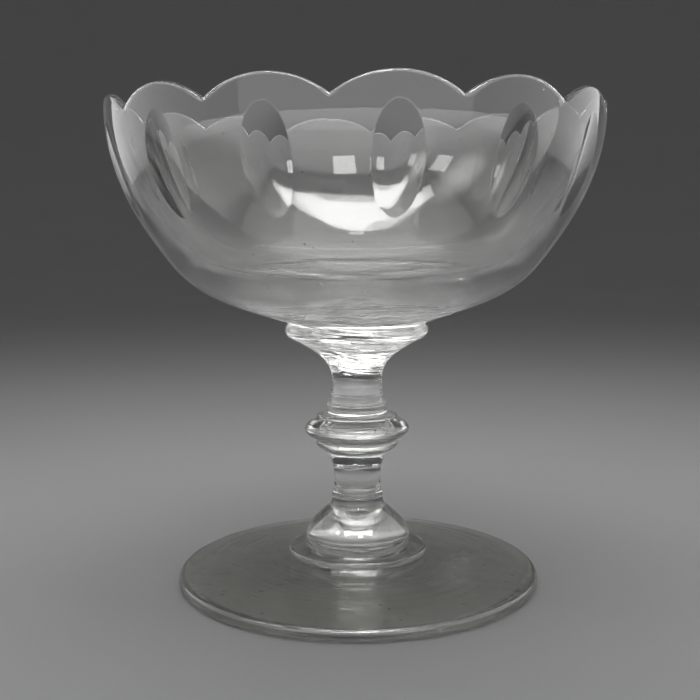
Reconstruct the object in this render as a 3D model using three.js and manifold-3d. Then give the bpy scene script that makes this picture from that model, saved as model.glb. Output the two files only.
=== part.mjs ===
// Footed bowl of clear glass, with a scalloped rim and a ring of olive cuts.
// Millimetres, +Z up. The origin is the middle of the ring that the foot rests on.
// Hot gathers are welded one on another, so neighbours meet on flat round welds.
import * as THREE from "three";
import { mergeVertices } from "three/addons/utils/BufferGeometryUtils.js";
import Module from "manifold-3d";

// Foot
const FOOT_RADIUS = 60.5;
const FOOT_EDGE_HEIGHT = 3.9;
const FOOT_EDGE_ROUND = 1.9;
const FOOT_SEAT_HEIGHT = 9;
const REST_RING_OUTER = 57;
const REST_RING_INNER = 50;
const FOOT_HOLLOW_HEIGHT = 4.6;

// Lengths of the pieces that stand on the foot, from the lowest to the highest
const BOSS_RING_HEIGHT = 2.2;
const BOSS_HEIGHT = 14;
const STEM_RING_HEIGHT = 3.3;
const LOWER_STEM_LENGTH = 15;
const KNOP_BASE_HEIGHT = 4.2;
const FLANGE_HEIGHT = 7.4;
const KNOP_SHOULDER_HEIGHT = 3.6;
const BEAD_HEIGHT = 1.7;
const UPPER_STEM_LENGTH = 7.6;
const COLLAR_HEIGHT = 19.5;
const BOWL_HEIGHT = 70.9;

// Radii of the welds, each shared by the two pieces that meet there
const FOOT_WELD_RADIUS = 22.6;
const BOSS_WELD_RADIUS = 17;
const STEM_RING_WELD_RADIUS = 9.3;
const STEM_BASE_WELD_RADIUS = 8.55;
const STEM_TOP_WELD_RADIUS = 9.9;
const KNOP_BASE_WELD_RADIUS = 13.8;
const FLANGE_WELD_RADIUS = 13.1;
const BEAD_WELD_RADIUS = 9.7;
const NECK_WELD_RADIUS = 9.3;
const COLLAR_NECK_RADIUS = 8.4;
const BOWL_WELD_RADIUS = 23.4;

// Widest and narrowest radii of the turned pieces
const BOSS_RING_RADIUS = 23.4;
const BOSS_RADIUS = 17.5;
const BOSS_SIDE_HEIGHT = 3.4;
const BOSS_SHOULDER_PULL = 4;
const BOSS_TOP_SLOPE = 40;
const STEM_RING_WAIST_RADIUS = 8.7;
const LOWER_STEM_WAIST_RADIUS = 7.9;
const KNOP_BASE_MIDDLE_RADIUS = 13.3;
const KNOP_BASE_BULGE_DROP = 2.5;
const FLANGE_RADIUS = 17.6;
const FLANGE_RIDGE_HEIGHT = 3.5;
const KNOP_SHOULDER_RADIUS = 13.5;
const KNOP_SHOULDER_EDGE = 0.9;
const BEAD_RADIUS = 9.9;
const UPPER_STEM_WAIST_RADIUS = 8.6;
const COLLAR_RADIUS = 23.8;
const COLLAR_RIDGE_DROP = 2.9;
const COLLAR_LIP_RADIUS = 21.7;
const COLLAR_LIP_DROP = 5.7;
const COLLAR_LIP_SLOPE = 27;
const COLLAR_FLARE_PULL = 7;
const COLLAR_GROOVE_DEPTH = 0.5;
const COLLAR_GROOVE_DROP = 0.9;

// Bowl wall
const RIM_RADIUS = 80;
const RIM_SLOPE = 92;
const RIM_WALL = 2.6;
const RIM_CROWN = 0.8;
const BOWL_SHOULDER_RADIUS = 60;
const BOWL_SHOULDER_RISE = 19.1;
const BOWL_SHOULDER_SLOPE = 51.7;
const BOWL_BASE_SLOPE = 18.7;
const BOWL_BASE_WALL = 9.5;
const WALL_TAPER = 1.5;
const CURVE_FULLNESS = 0.36;

// Scallops of the rim
const SCALLOP_COUNT = 14;
const SCALLOP_DEPTH = 6;
const FIRST_NOTCH_ANGLE = -5;

// Olive cuts, one in the middle of each scallop
const OLIVE_LENGTH = 32;
const OLIVE_WIDTH = 14.2;
const OLIVE_DEPTH = 1.25;
const OLIVE_TOP_DROP = 7.2;

// Fineness of the facets
const TURN_STEPS = 40;
const FOOT_STEPS = 72;
const CURVE_STEPS = 3;
const COLUMNS_PER_SCALLOP = 6;
const WALL_ROWS = 11;
const CROWN_STEPS = 4;
const FLOOR_ROWS = 2;
const OLIVE_ROWS = 8;
const OLIVE_ARC_STEPS = 8;
const OLIVE_OVERRUN = 1.2;
const OLIVE_SPREAD = 1.5;
const OLIVE_CUTTER_HEIGHT = 6;
const SAME_CORNER = 0.0001;

// Heights of the welds above the table
const BOSS_RING_Z = FOOT_SEAT_HEIGHT;
const BOSS_Z = BOSS_RING_Z + BOSS_RING_HEIGHT;
const STEM_RING_Z = BOSS_Z + BOSS_HEIGHT;
const LOWER_STEM_Z = STEM_RING_Z + STEM_RING_HEIGHT;
const KNOP_BASE_Z = LOWER_STEM_Z + LOWER_STEM_LENGTH;
const FLANGE_Z = KNOP_BASE_Z + KNOP_BASE_HEIGHT;
const KNOP_SHOULDER_Z = FLANGE_Z + FLANGE_HEIGHT;
const BEAD_Z = KNOP_SHOULDER_Z + KNOP_SHOULDER_HEIGHT;
const UPPER_STEM_Z = BEAD_Z + BEAD_HEIGHT;
const COLLAR_Z = UPPER_STEM_Z + UPPER_STEM_LENGTH;
const BOWL_Z = COLLAR_Z + COLLAR_HEIGHT;
const RIM_Z = BOWL_Z + BOWL_HEIGHT;

const radians = THREE.MathUtils.degToRad;
const wasm = await Module();
wasm.setup();

// One closed skin: shared corners are merged, and the flat triangles at a pole are dropped.
function closedSkin(geometry) {
  const bare = geometry.clone();
  bare.deleteAttribute("normal");
  bare.deleteAttribute("uv");
  const merged = mergeVertices(bare, SAME_CORNER);
  const corners = merged.index.array;
  const kept = [];
  for (let i = 0; i < corners.length; i += 3) {
    const [a, b, c] = [corners[i], corners[i + 1], corners[i + 2]];
    if (a !== b && b !== c && c !== a) kept.push(a, b, c);
  }
  merged.setIndex(kept);
  return merged;
}

function toSolid(geometry) {
  const skin = closedSkin(geometry);
  const mesh = new wasm.Mesh({
    numProp: 3,
    vertProperties: new Float32Array(skin.attributes.position.array),
    triVerts: new Uint32Array(skin.index.array),
  });
  return new wasm.Manifold(mesh);
}

function toGeometry(solid) {
  const mesh = solid.getMesh();
  const geometry = new THREE.BufferGeometry();
  geometry.setAttribute("position", new THREE.BufferAttribute(mesh.vertProperties, 3));
  geometry.setIndex(new THREE.BufferAttribute(mesh.triVerts, 1));
  geometry.computeVertexNormals();
  return geometry;
}

// A profile turned about the upright axis. It starts and ends on that axis.
function turned(profile, steps) {
  const lathe = new THREE.LatheGeometry(profile.getPoints(CURVE_STEPS), steps);
  lathe.rotateX(Math.PI / 2);
  const skin = closedSkin(lathe);
  skin.computeVertexNormals();
  return skin;
}

function clearGlass(color, roughness) {
  return new THREE.MeshStandardMaterial({
    color,
    roughness,
    metalness: 0,
    transparent: true,
    opacity: 0.35,
  });
}

function piece(name, geometry, material) {
  const mesh = new THREE.Mesh(geometry, material);
  mesh.name = name;
  return mesh;
}

// The foot is a spun disc: a shallow cone above, a low hollow below, and a worn flat ring to rest on.
function footDisc() {
  const coneEdge = FOOT_RADIUS - FOOT_EDGE_ROUND;
  const profile = new THREE.Path();
  profile.moveTo(0, FOOT_HOLLOW_HEIGHT);
  profile.quadraticCurveTo(REST_RING_INNER / 2, FOOT_HOLLOW_HEIGHT, REST_RING_INNER, 0);
  profile.lineTo(REST_RING_OUTER, 0);
  profile.quadraticCurveTo(FOOT_RADIUS, 0, FOOT_RADIUS, FOOT_EDGE_ROUND);
  profile.quadraticCurveTo(FOOT_RADIUS, FOOT_EDGE_HEIGHT, coneEdge, FOOT_EDGE_HEIGHT);
  profile.lineTo(FOOT_WELD_RADIUS, FOOT_SEAT_HEIGHT);
  profile.lineTo(0, FOOT_SEAT_HEIGHT);
  return piece("foot_disc", turned(profile, FOOT_STEPS), clearGlass(0xdde3dc, 0.08));
}

// A low round pad that spreads the boss on the foot.
function bossRing() {
  const middle = (BOSS_RING_Z + BOSS_Z) / 2;
  const profile = new THREE.Path();
  profile.moveTo(0, BOSS_RING_Z);
  profile.lineTo(FOOT_WELD_RADIUS, BOSS_RING_Z);
  profile.quadraticCurveTo(BOSS_RING_RADIUS, BOSS_RING_Z, BOSS_RING_RADIUS, middle);
  profile.quadraticCurveTo(BOSS_RING_RADIUS, BOSS_Z, FOOT_WELD_RADIUS, BOSS_Z);
  profile.lineTo(0, BOSS_Z);
  return piece("boss_ring", turned(profile, TURN_STEPS), clearGlass(0xe2e6e0, 0.07));
}

// The boss is a dome with an upright side, under the stem.
function footBoss() {
  const sideTop = BOSS_Z + BOSS_SIDE_HEIGHT;
  const slope = radians(BOSS_TOP_SLOPE);
  const profile = new THREE.Path();
  profile.moveTo(0, BOSS_Z);
  profile.lineTo(BOSS_WELD_RADIUS, BOSS_Z);
  profile.quadraticCurveTo(BOSS_RADIUS, BOSS_Z + BOSS_SIDE_HEIGHT / 2, BOSS_RADIUS, sideTop);
  profile.bezierCurveTo(
    BOSS_RADIUS,
    sideTop + BOSS_SHOULDER_PULL,
    STEM_RING_WELD_RADIUS + BOSS_SHOULDER_PULL * Math.cos(slope),
    STEM_RING_Z - BOSS_SHOULDER_PULL * Math.sin(slope),
    STEM_RING_WELD_RADIUS,
    STEM_RING_Z,
  );
  profile.lineTo(0, STEM_RING_Z);
  return piece("foot_boss", turned(profile, TURN_STEPS), clearGlass(0xe4e8e4, 0.06));
}

// The middle handle of a quadratic curve that passes through the middle radius half-way.
function handleRadius(lowRadius, middleRadius, highRadius) {
  return 2 * middleRadius - (lowRadius + highRadius) / 2;
}

// A turned piece whose side is drawn in or swells at its middle.
function waisted(name, low, high, lowRadius, middleRadius, highRadius, material) {
  const handle = handleRadius(lowRadius, middleRadius, highRadius);
  const profile = new THREE.Path();
  profile.moveTo(0, low);
  profile.lineTo(lowRadius, low);
  profile.quadraticCurveTo(handle, (low + high) / 2, highRadius, high);
  profile.lineTo(0, high);
  return piece(name, turned(profile, TURN_STEPS), material);
}

function stemFootRing() {
  return waisted("stem_foot_ring", STEM_RING_Z, LOWER_STEM_Z, STEM_RING_WELD_RADIUS,
    STEM_RING_WAIST_RADIUS, STEM_BASE_WELD_RADIUS, clearGlass(0xe3e7e4, 0.06));
}

function lowerStem() {
  return waisted("lower_stem", LOWER_STEM_Z, KNOP_BASE_Z, STEM_BASE_WELD_RADIUS,
    LOWER_STEM_WAIST_RADIUS, STEM_TOP_WELD_RADIUS, clearGlass(0xe5e9e6, 0.05));
}

// The underside of the knop swells out quickly from the stem.
function knopBase() {
  const handle = handleRadius(STEM_TOP_WELD_RADIUS, KNOP_BASE_MIDDLE_RADIUS, KNOP_BASE_WELD_RADIUS);
  const profile = new THREE.Path();
  profile.moveTo(0, KNOP_BASE_Z);
  profile.lineTo(STEM_TOP_WELD_RADIUS, KNOP_BASE_Z);
  profile.quadraticCurveTo(handle, FLANGE_Z - KNOP_BASE_BULGE_DROP, KNOP_BASE_WELD_RADIUS, FLANGE_Z);
  profile.lineTo(0, FLANGE_Z);
  return piece("knop_base", turned(profile, TURN_STEPS), clearGlass(0xe4e8e5, 0.06));
}

// The flange is the widest disc of the knop, with a full round edge.
function knopFlange() {
  const ridge = FLANGE_Z + FLANGE_RIDGE_HEIGHT;
  const lowHandle = (FLANGE_Z + ridge) / 2;
  const highHandle = (ridge + KNOP_SHOULDER_Z) / 2;
  const profile = new THREE.Path();
  profile.moveTo(0, FLANGE_Z);
  profile.lineTo(KNOP_BASE_WELD_RADIUS, FLANGE_Z);
  profile.quadraticCurveTo(FLANGE_RADIUS, lowHandle, FLANGE_RADIUS, ridge);
  profile.quadraticCurveTo(FLANGE_RADIUS, highHandle, FLANGE_WELD_RADIUS, KNOP_SHOULDER_Z);
  profile.lineTo(0, KNOP_SHOULDER_Z);
  return piece("knop_flange", turned(profile, TURN_STEPS), clearGlass(0xe6e9e6, 0.06));
}

// A hollow-sided cone with a crisp lower edge.
function knopShoulder() {
  const edge = KNOP_SHOULDER_Z + KNOP_SHOULDER_EDGE;
  const profile = new THREE.Path();
  profile.moveTo(0, KNOP_SHOULDER_Z);
  profile.lineTo(FLANGE_WELD_RADIUS, KNOP_SHOULDER_Z);
  profile.lineTo(KNOP_SHOULDER_RADIUS, edge);
  profile.quadraticCurveTo(BEAD_RADIUS, edge, BEAD_WELD_RADIUS, BEAD_Z);
  profile.lineTo(0, BEAD_Z);
  return piece("knop_shoulder", turned(profile, TURN_STEPS), clearGlass(0xe5e8e5, 0.06));
}

function knopBead() {
  return waisted("knop_bead", BEAD_Z, UPPER_STEM_Z, BEAD_WELD_RADIUS,
    BEAD_RADIUS, NECK_WELD_RADIUS, clearGlass(0xe7eae7, 0.05));
}

function upperStem() {
  return waisted("upper_stem", UPPER_STEM_Z, COLLAR_Z, NECK_WELD_RADIUS,
    UPPER_STEM_WAIST_RADIUS, COLLAR_NECK_RADIUS, clearGlass(0xe6eae7, 0.05));
}

// The collar flares from the neck to a round disc, with a slight groove where the bowl sits on it.
function bowlCollar() {
  const lipZ = BOWL_Z - COLLAR_LIP_DROP;
  const ridgeZ = BOWL_Z - COLLAR_RIDGE_DROP;
  const grooveZ = BOWL_Z - COLLAR_GROOVE_DROP;
  const slope = radians(COLLAR_LIP_SLOPE);
  const profile = new THREE.Path();
  profile.moveTo(0, COLLAR_Z);
  profile.lineTo(COLLAR_NECK_RADIUS, COLLAR_Z);
  profile.bezierCurveTo(
    COLLAR_NECK_RADIUS,
    COLLAR_Z + COLLAR_FLARE_PULL,
    COLLAR_LIP_RADIUS - COLLAR_FLARE_PULL * Math.cos(slope),
    lipZ - COLLAR_FLARE_PULL * Math.sin(slope),
    COLLAR_LIP_RADIUS,
    lipZ,
  );
  profile.quadraticCurveTo(COLLAR_RADIUS, lipZ + (COLLAR_RADIUS - COLLAR_LIP_RADIUS) * Math.tan(slope),
    COLLAR_RADIUS, ridgeZ);
  profile.lineTo(BOWL_WELD_RADIUS - COLLAR_GROOVE_DEPTH, grooveZ);
  profile.lineTo(BOWL_WELD_RADIUS, BOWL_Z);
  profile.lineTo(0, BOWL_Z);
  return piece("bowl_collar", turned(profile, TURN_STEPS), clearGlass(0xdfe3de, 0.09));
}

// Outside of the bowl in section, from the weld to the foot of the crown.
// Two curves meet smoothly at the shoulder.
function bowlOutline() {
  const start = new THREE.Vector2(BOWL_WELD_RADIUS, BOWL_Z);
  const shoulder = new THREE.Vector2(BOWL_SHOULDER_RADIUS, BOWL_Z + BOWL_SHOULDER_RISE);
  const rim = new THREE.Vector2(RIM_RADIUS, RIM_Z - RIM_CROWN);
  const outline = new THREE.CurvePath();
  outline.add(smoothArc(start, BOWL_BASE_SLOPE, shoulder, BOWL_SHOULDER_SLOPE));
  outline.add(smoothArc(shoulder, BOWL_SHOULDER_SLOPE, rim, RIM_SLOPE));
  return outline;
}

function smoothArc(from, fromSlope, to, toSlope) {
  const pull = CURVE_FULLNESS * from.distanceTo(to);
  const leave = new THREE.Vector2(Math.cos(radians(fromSlope)), Math.sin(radians(fromSlope)));
  const arrive = new THREE.Vector2(Math.cos(radians(toSlope)), Math.sin(radians(toSlope)));
  const first = from.clone().addScaledVector(leave, pull);
  const second = to.clone().addScaledVector(arrive, -pull);
  return new THREE.CubicBezierCurve(from, first, second, to);
}

// A point of the wall: share along the outline, and depth into the glass from the outside.
// Past the rim the outline goes straight on.
function wallPoint(outline, share, depth) {
  const onOutline = Math.min(share, 1);
  const past = (share - onOutline) * outline.getLength();
  const along = outline.getTangentAt(onOutline);
  const inward = new THREE.Vector2(-along.y, along.x);
  return outline.getPointAt(onOutline).addScaledVector(along, past).addScaledVector(inward, depth);
}

function wallThickness(share) {
  return RIM_WALL + (BOWL_BASE_WALL - RIM_WALL) * (1 - share) ** WALL_TAPER;
}

// How far the rim dips at a place between two notches: -1 and 1 are notches, 0 is the top of a scallop.
function rimDip(place) {
  const halfChord = Math.PI * RIM_RADIUS / SCALLOP_COUNT;
  const arcRadius = (halfChord ** 2 + SCALLOP_DEPTH ** 2) / (2 * SCALLOP_DEPTH);
  return arcRadius - Math.sqrt(arcRadius ** 2 - (place * halfChord) ** 2);
}

// One upright section of the bowl, from the middle of the weld, up the outside and down the inside.
function bowlSection(outline, dip) {
  const top = 1 - dip / outline.getLength();
  const section = [new THREE.Vector2(0, BOWL_Z)];
  for (let row = 0; row <= WALL_ROWS; row += 1) {
    section.push(wallPoint(outline, top * row / WALL_ROWS, 0));
  }
  const along = outline.getTangentAt(top);
  for (let step = 1; step < CROWN_STEPS; step += 1) {
    const turn = Math.PI * step / CROWN_STEPS;
    const across = wallThickness(top) * (1 - Math.cos(turn)) / 2;
    const point = wallPoint(outline, top, across);
    section.push(point.addScaledVector(along, RIM_CROWN * Math.sin(turn)));
  }
  for (let row = WALL_ROWS; row >= 0; row -= 1) {
    const share = top * row / WALL_ROWS;
    section.push(wallPoint(outline, share, wallThickness(share)));
  }
  const edge = section[section.length - 1];
  const sink = edge.x * Math.tan(radians(BOWL_BASE_SLOPE)) / 2;
  for (let row = FLOOR_ROWS - 1; row >= 0; row -= 1) {
    const share = row / FLOOR_ROWS;
    section.push(new THREE.Vector2(edge.x * share, edge.y - sink * (1 - share ** 2)));
  }
  return section;
}

// The blown bowl: a lathe whose columns each end at the height of the scalloped rim.
function blownBowl(outline) {
  const columns = SCALLOP_COUNT * COLUMNS_PER_SCALLOP;
  const lathe = new THREE.LatheGeometry(bowlSection(outline, 0), columns);
  const rows = bowlSection(outline, 0).length;
  const position = lathe.attributes.position;
  for (let column = 0; column <= columns; column += 1) {
    const place = 2 * (column % COLUMNS_PER_SCALLOP) / COLUMNS_PER_SCALLOP - 1;
    const section = bowlSection(outline, rimDip(place));
    const angle = radians(FIRST_NOTCH_ANGLE) + 2 * Math.PI * (column % columns) / columns;
    const [right, back] = [Math.sin(angle), -Math.cos(angle)];
    section.forEach((point, row) => {
      position.setXYZ(column * rows + row, point.x * right, point.x * back, point.y);
    });
  }
  return lathe;
}

// Wheel that grinds one olive: a round-nosed section carried along the wall, deepest at mid-length.
function oliveCutter(outline) {
  const length = outline.getLength();
  const middle = 1 - (OLIVE_TOP_DROP - RIM_CROWN + OLIVE_LENGTH / 2) / length;
  const path = [];
  for (let row = 0; row <= OLIVE_ROWS; row += 1) {
    const reach = OLIVE_OVERRUN * (2 * row / OLIVE_ROWS - 1);
    const share = middle + reach * OLIVE_LENGTH / 2 / length;
    const point = wallPoint(outline, share, OLIVE_DEPTH * (1 - reach ** 2));
    path.push(new THREE.Vector3(point.x, 0, point.y));
  }
  const wallRadius = wallPoint(outline, middle, 0).x;
  const halfWidth = OLIVE_WIDTH / 2;
  const wallSag = halfWidth ** 2 / (2 * wallRadius);
  const noseSag = OLIVE_DEPTH - wallSag;
  const nose = new THREE.Shape();
  const spread = halfWidth * OLIVE_SPREAD;
  nose.moveTo(-spread, OLIVE_CUTTER_HEIGHT);
  for (let step = 0; step <= OLIVE_ARC_STEPS; step += 1) {
    const across = spread * (2 * step / OLIVE_ARC_STEPS - 1);
    nose.lineTo(across, noseSag * (across / halfWidth) ** 2);
  }
  nose.lineTo(spread, OLIVE_CUTTER_HEIGHT);
  nose.closePath();
  const extrudePath = new THREE.CatmullRomCurve3(path);
  return new THREE.ExtrudeGeometry(nose, { steps: OLIVE_ROWS, bevelEnabled: false, extrudePath });
}

function bowl() {
  const outline = bowlOutline();
  let solid = toSolid(blownBowl(outline));
  const cutter = oliveCutter(outline);
  for (let index = 0; index < SCALLOP_COUNT; index += 1) {
    const fromFront = FIRST_NOTCH_ANGLE + 360 * (index + 0.5) / SCALLOP_COUNT;
    const turn = radians(fromFront - 90);
    solid = solid.subtract(toSolid(cutter.clone().rotateZ(turn)));
  }
  return piece("bowl", toGeometry(solid), clearGlass(0xe9ecea, 0.04));
}

const footedBowl = new THREE.Group();
footedBowl.name = "footed_bowl";
footedBowl.add(
  footDisc(),
  bossRing(),
  footBoss(),
  stemFootRing(),
  lowerStem(),
  knopBase(),
  knopFlange(),
  knopShoulder(),
  knopBead(),
  upperStem(),
  bowlCollar(),
  bowl(),
);

export default footedBowl;
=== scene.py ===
# A footed bowl of clear, hot-worked glass: scalloped rim, olive cuts, knopped stem, spun foot.
# Lengths in the shapes are millimetres. MM turns them into the frame's metres.
from math import comb, radians

import bmesh
import bpy
import numpy as np
from mathutils import Euler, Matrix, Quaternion


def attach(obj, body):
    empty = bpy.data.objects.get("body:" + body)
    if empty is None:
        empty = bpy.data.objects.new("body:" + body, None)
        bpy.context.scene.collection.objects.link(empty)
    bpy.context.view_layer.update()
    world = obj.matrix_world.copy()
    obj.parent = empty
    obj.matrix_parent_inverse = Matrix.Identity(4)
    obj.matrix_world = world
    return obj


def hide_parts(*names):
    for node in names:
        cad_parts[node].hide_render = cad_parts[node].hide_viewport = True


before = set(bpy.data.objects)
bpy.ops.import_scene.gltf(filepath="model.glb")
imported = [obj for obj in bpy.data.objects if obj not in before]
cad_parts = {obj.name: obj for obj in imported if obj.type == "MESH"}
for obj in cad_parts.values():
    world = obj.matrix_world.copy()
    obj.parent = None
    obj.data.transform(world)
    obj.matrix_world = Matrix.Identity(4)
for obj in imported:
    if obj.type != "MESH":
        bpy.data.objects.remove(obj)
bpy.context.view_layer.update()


# The foot: a disc spun open from one gather, a shallow cone on top and a low hollow below.
# It is fire polished, with wavy spin marks on the cone, and rests on a narrow ring worn flat.
MM = 0.001
AROUND = 280
FOOT_RADIUS = 60.4
FOOT_EDGE_HEIGHT = 3.9
FOOT_EDGE_ROUND = 1.9
FOOT_EDGE_TOP = (FOOT_RADIUS - FOOT_EDGE_ROUND, FOOT_EDGE_HEIGHT)
FOOT_TOP = 9.0
FOOT_WELD_RADIUS = 22.6
REST_RING_OUTER = 57.0
REST_RING_INNER = 55.5
FOOT_HOLLOW_HEIGHT = 4.6
FOOT_TINT = (0.955, 0.963, 0.905)
SPIN_WAVE = 0.03
SPIN_LINE = 0.08
SPIN_START = 0.3
WELD_RINGS = 4
WELD_CALM = 1.2
WELD_REACH = 0.5
WELD_ROUND = 0.22
WELD_RIDGE = -0.16
GLASS_IOR = 1.52
BEND_SCALE, BEND_HEIGHT = 70, 0.0004
STRIAE_SCALE, STRIAE_HEIGHT, STRIAE_FADE = (45, 45, 620), 0.0005, 0.012
SPECK_SCALE, SPECK_HEIGHT, SPECK_CORE, SPECK_ROUGHNESS = 160, 0.0003, 0.4, 0.2
SMEAR_SCALE, SMEAR_START, SMEAR_FULL, SMEAR_SHADE = 45, 0.45, 0.8, 0.97
SEED_SCALE, SEED_START, SEED_FULL, SEED_SHADE = 300, 0.55, 0.8, 0.9


def bent_line(handles, count):
    """Points along a Bezier curve: at each step t the handles are added, each times its
    binomial share."""
    handles = np.asarray(handles, float)
    degree = len(handles) - 1
    t = np.linspace(0, 1, count)[:, None]
    return sum(comb(degree, k) * t**k * (1 - t)**(degree - k) * handles[k]
               for k in range(degree + 1))


def joined(*lines):
    """Lines laid end to end, each without its first point where that repeats the last one."""
    kept = [lines[0]] + [line[1:] for line in lines[1:]]
    return np.concatenate(kept)


def running_length(line):
    """The distance from the line's first point to each point, added up step by step."""
    return np.concatenate([[0], np.cumsum(np.hypot(*np.diff(line, axis=0).T))])


def evenly_spaced(line, step):
    """The same line with its points a fixed step of length apart, by its running length."""
    length = running_length(line)
    even = np.linspace(0, length[-1], max(2, int(np.ceil(length[-1] / step)) + 1))
    return np.stack([np.interp(even, length, line[:, 0]), np.interp(even, length, line[:, 1])], 1)


def waves(across, along, seed, count, longest):
    """Sum of sine waves: each has its own whole number of turns across, its own rate along
    and its own phase."""
    draw = np.random.default_rng(seed)
    total = np.zeros(np.broadcast(across, along).shape)
    for turns in range(1, count + 1):
        rate = draw.uniform(-1, 1) * 2 * np.pi * turns / longest
        phase = draw.uniform(0, 2 * np.pi)
        total += np.sin(turns * across + rate * along + phase) / turns**0.7
    return total / np.sqrt(count)


def wandering_lines(angle, along, seed, count, finest, widest):
    """Level lines: sine waves along the side, each as high as it is wide, that drift and fade
    on their way round."""
    draw = np.random.default_rng(seed)
    total = np.zeros(np.broadcast(angle, along).shape)
    for spacing in np.geomspace(finest, widest, count):
        turns = draw.integers(1, 5)
        phase, start = draw.uniform(0, 2 * np.pi, 2)
        swing = draw.uniform(0.6, 2.2)
        strength = 0.6 + 0.4 * np.sin(turns * angle + start)
        drift = swing * np.sin(turns * angle + phase)
        total += strength * spacing / widest * np.sin(2 * np.pi * along / spacing + drift)
    return total


def round_axis(angle, radius, height):
    """Points round the stem's axis: the angle starts at the front and grows towards the right."""
    across, back = radius * np.sin(angle), -radius * np.cos(angle)
    return np.stack(np.broadcast_arrays(across, back, height), -1)


def grid_quads(rows, columns):
    """Corner numbers of a grid that closes on itself across: each cell runs across and then up."""
    row, column = np.meshgrid(np.arange(rows - 1), np.arange(columns), indexing="ij")
    right = (column + 1) % columns
    cells = np.stack([row * columns + column, row * columns + right,
                      (row + 1) * columns + right, (row + 1) * columns + column], -1)
    return cells.reshape(-1, 4)


def fan(pole, ring, upward):
    """Triangles from a pole to a ring of corners, turned to face up or down."""
    following = np.roll(ring, -1)
    corners = (ring, following) if upward else (following, ring)
    return np.stack([np.full(len(ring), pole), *corners], -1)


def skin(name, points, quads, triangles, quad_slots, triangle_slots):
    """A smooth mesh in metres from points in millimetres, four-sided cells, triangles and slots."""
    corners = np.concatenate([quads.ravel(), triangles.ravel()])
    slots = np.concatenate([quad_slots, triangle_slots])
    starts = np.concatenate([4 * np.arange(len(quads)), quads.size + 3 * np.arange(len(triangles))])
    mesh = bpy.data.meshes.new(name)
    mesh.vertices.add(len(points))
    mesh.vertices.foreach_set("co", (points * MM).astype(np.float32).ravel())
    mesh.loops.add(len(corners))
    mesh.loops.foreach_set("vertex_index", corners.astype(np.int32))
    mesh.polygons.add(len(starts))
    mesh.polygons.foreach_set("loop_start", starts.astype(np.int32))
    mesh.polygons.foreach_set("material_index", slots.astype(np.int32))
    mesh.polygons.foreach_set("use_smooth", np.ones(len(starts), bool))
    mesh.update(calc_edges=True)
    mesh.validate()
    thing = bpy.data.objects.new(name, mesh)
    bpy.context.scene.collection.objects.link(thing)
    return thing


def turned_skin(name, low_weld, side, high_weld, marks=None):
    """A side line turned about the stem's axis and closed to the axis at both ends.
    A closing disc that is a weld takes the second slot. marks(angle, height) is added to the
    radius, and fades out towards a weld."""
    angle = 2 * np.pi * np.arange(AROUND) / AROUND
    radius = np.repeat(side[:, :1], AROUND, 1)
    height = np.repeat(side[:, 1:], AROUND, 1)
    if marks is not None:
        run = running_length(side)
        fade = np.ones(len(run))
        if low_weld:
            fade *= np.clip(run / WELD_CALM, 0, 1)
        if high_weld:
            fade *= np.clip((run[-1] - run) / WELD_CALM, 0, 1)
        radius = radius + fade[:, None] * marks(angle[None, :], height)
    inner = np.arange(1, WELD_RINGS) / WELD_RINGS
    rings = [(radius[0] * k, height[0]) for k in inner] if low_weld else []
    rings += list(zip(radius, height))
    rings += [(radius[-1] * k, height[-1]) for k in inner[::-1]] if high_weld else []
    ring_radius = np.array([r for r, _ in rings])
    ring_height = np.array([z for _, z in rings])
    points = round_axis(angle, ring_radius, ring_height).reshape(-1, 3)
    poles = np.array([[0, 0, ring_height[0, 0]], [0, 0, ring_height[-1, 0]]])
    rows, pole = len(rings), len(rings) * AROUND
    row_of = np.repeat(np.arange(rows - 1), AROUND)
    low_rows = WELD_RINGS - 1 if low_weld else 0
    high_rows = rows - WELD_RINGS if high_weld else rows
    slots = ((row_of < low_rows) | (row_of >= high_rows)).astype(int)
    ring = np.arange(AROUND)
    triangles = np.concatenate([fan(pole, ring, False),
                                fan(pole + 1, (rows - 1) * AROUND + ring, True)])
    ends = np.concatenate([np.full(AROUND, int(low_weld)), np.full(AROUND, int(high_weld))])
    return skin(name, np.concatenate([points, poles]), grid_quads(rows, AROUND), triangles,
                slots, ends)


def softened(side, low=WELD_ROUND, high=WELD_ROUND):
    """The side drawn in by a hair at each weld, as fire polishing leaves a fine groove there.
    A depth below nought is a fine ridge, where the hot glass was squeezed out."""
    run = running_length(side)
    from_low = np.clip(1 - run / WELD_REACH, 0, 1)
    from_high = np.clip(1 - (run[-1] - run) / WELD_REACH, 0, 1)
    groove = low * from_low**2 + high * from_high**2
    return np.stack([side[:, 0] - groove, side[:, 1]], 1)


def feed(tree, node, inputs):
    """Each named input takes a value, or a link where another node's output is given."""
    for socket, given in inputs.items():
        if isinstance(given, bpy.types.NodeSocket):
            tree.links.new(given, node.inputs[socket])
        else:
            node.inputs[socket].default_value = given
    return node


def fresh(tree, kind, inputs, operation=None):
    """A new shader node of this kind, with its operation and its inputs."""
    node = tree.nodes.new("ShaderNode" + kind)
    if operation:
        node.operation = operation
    return feed(tree, node, inputs)


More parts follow.
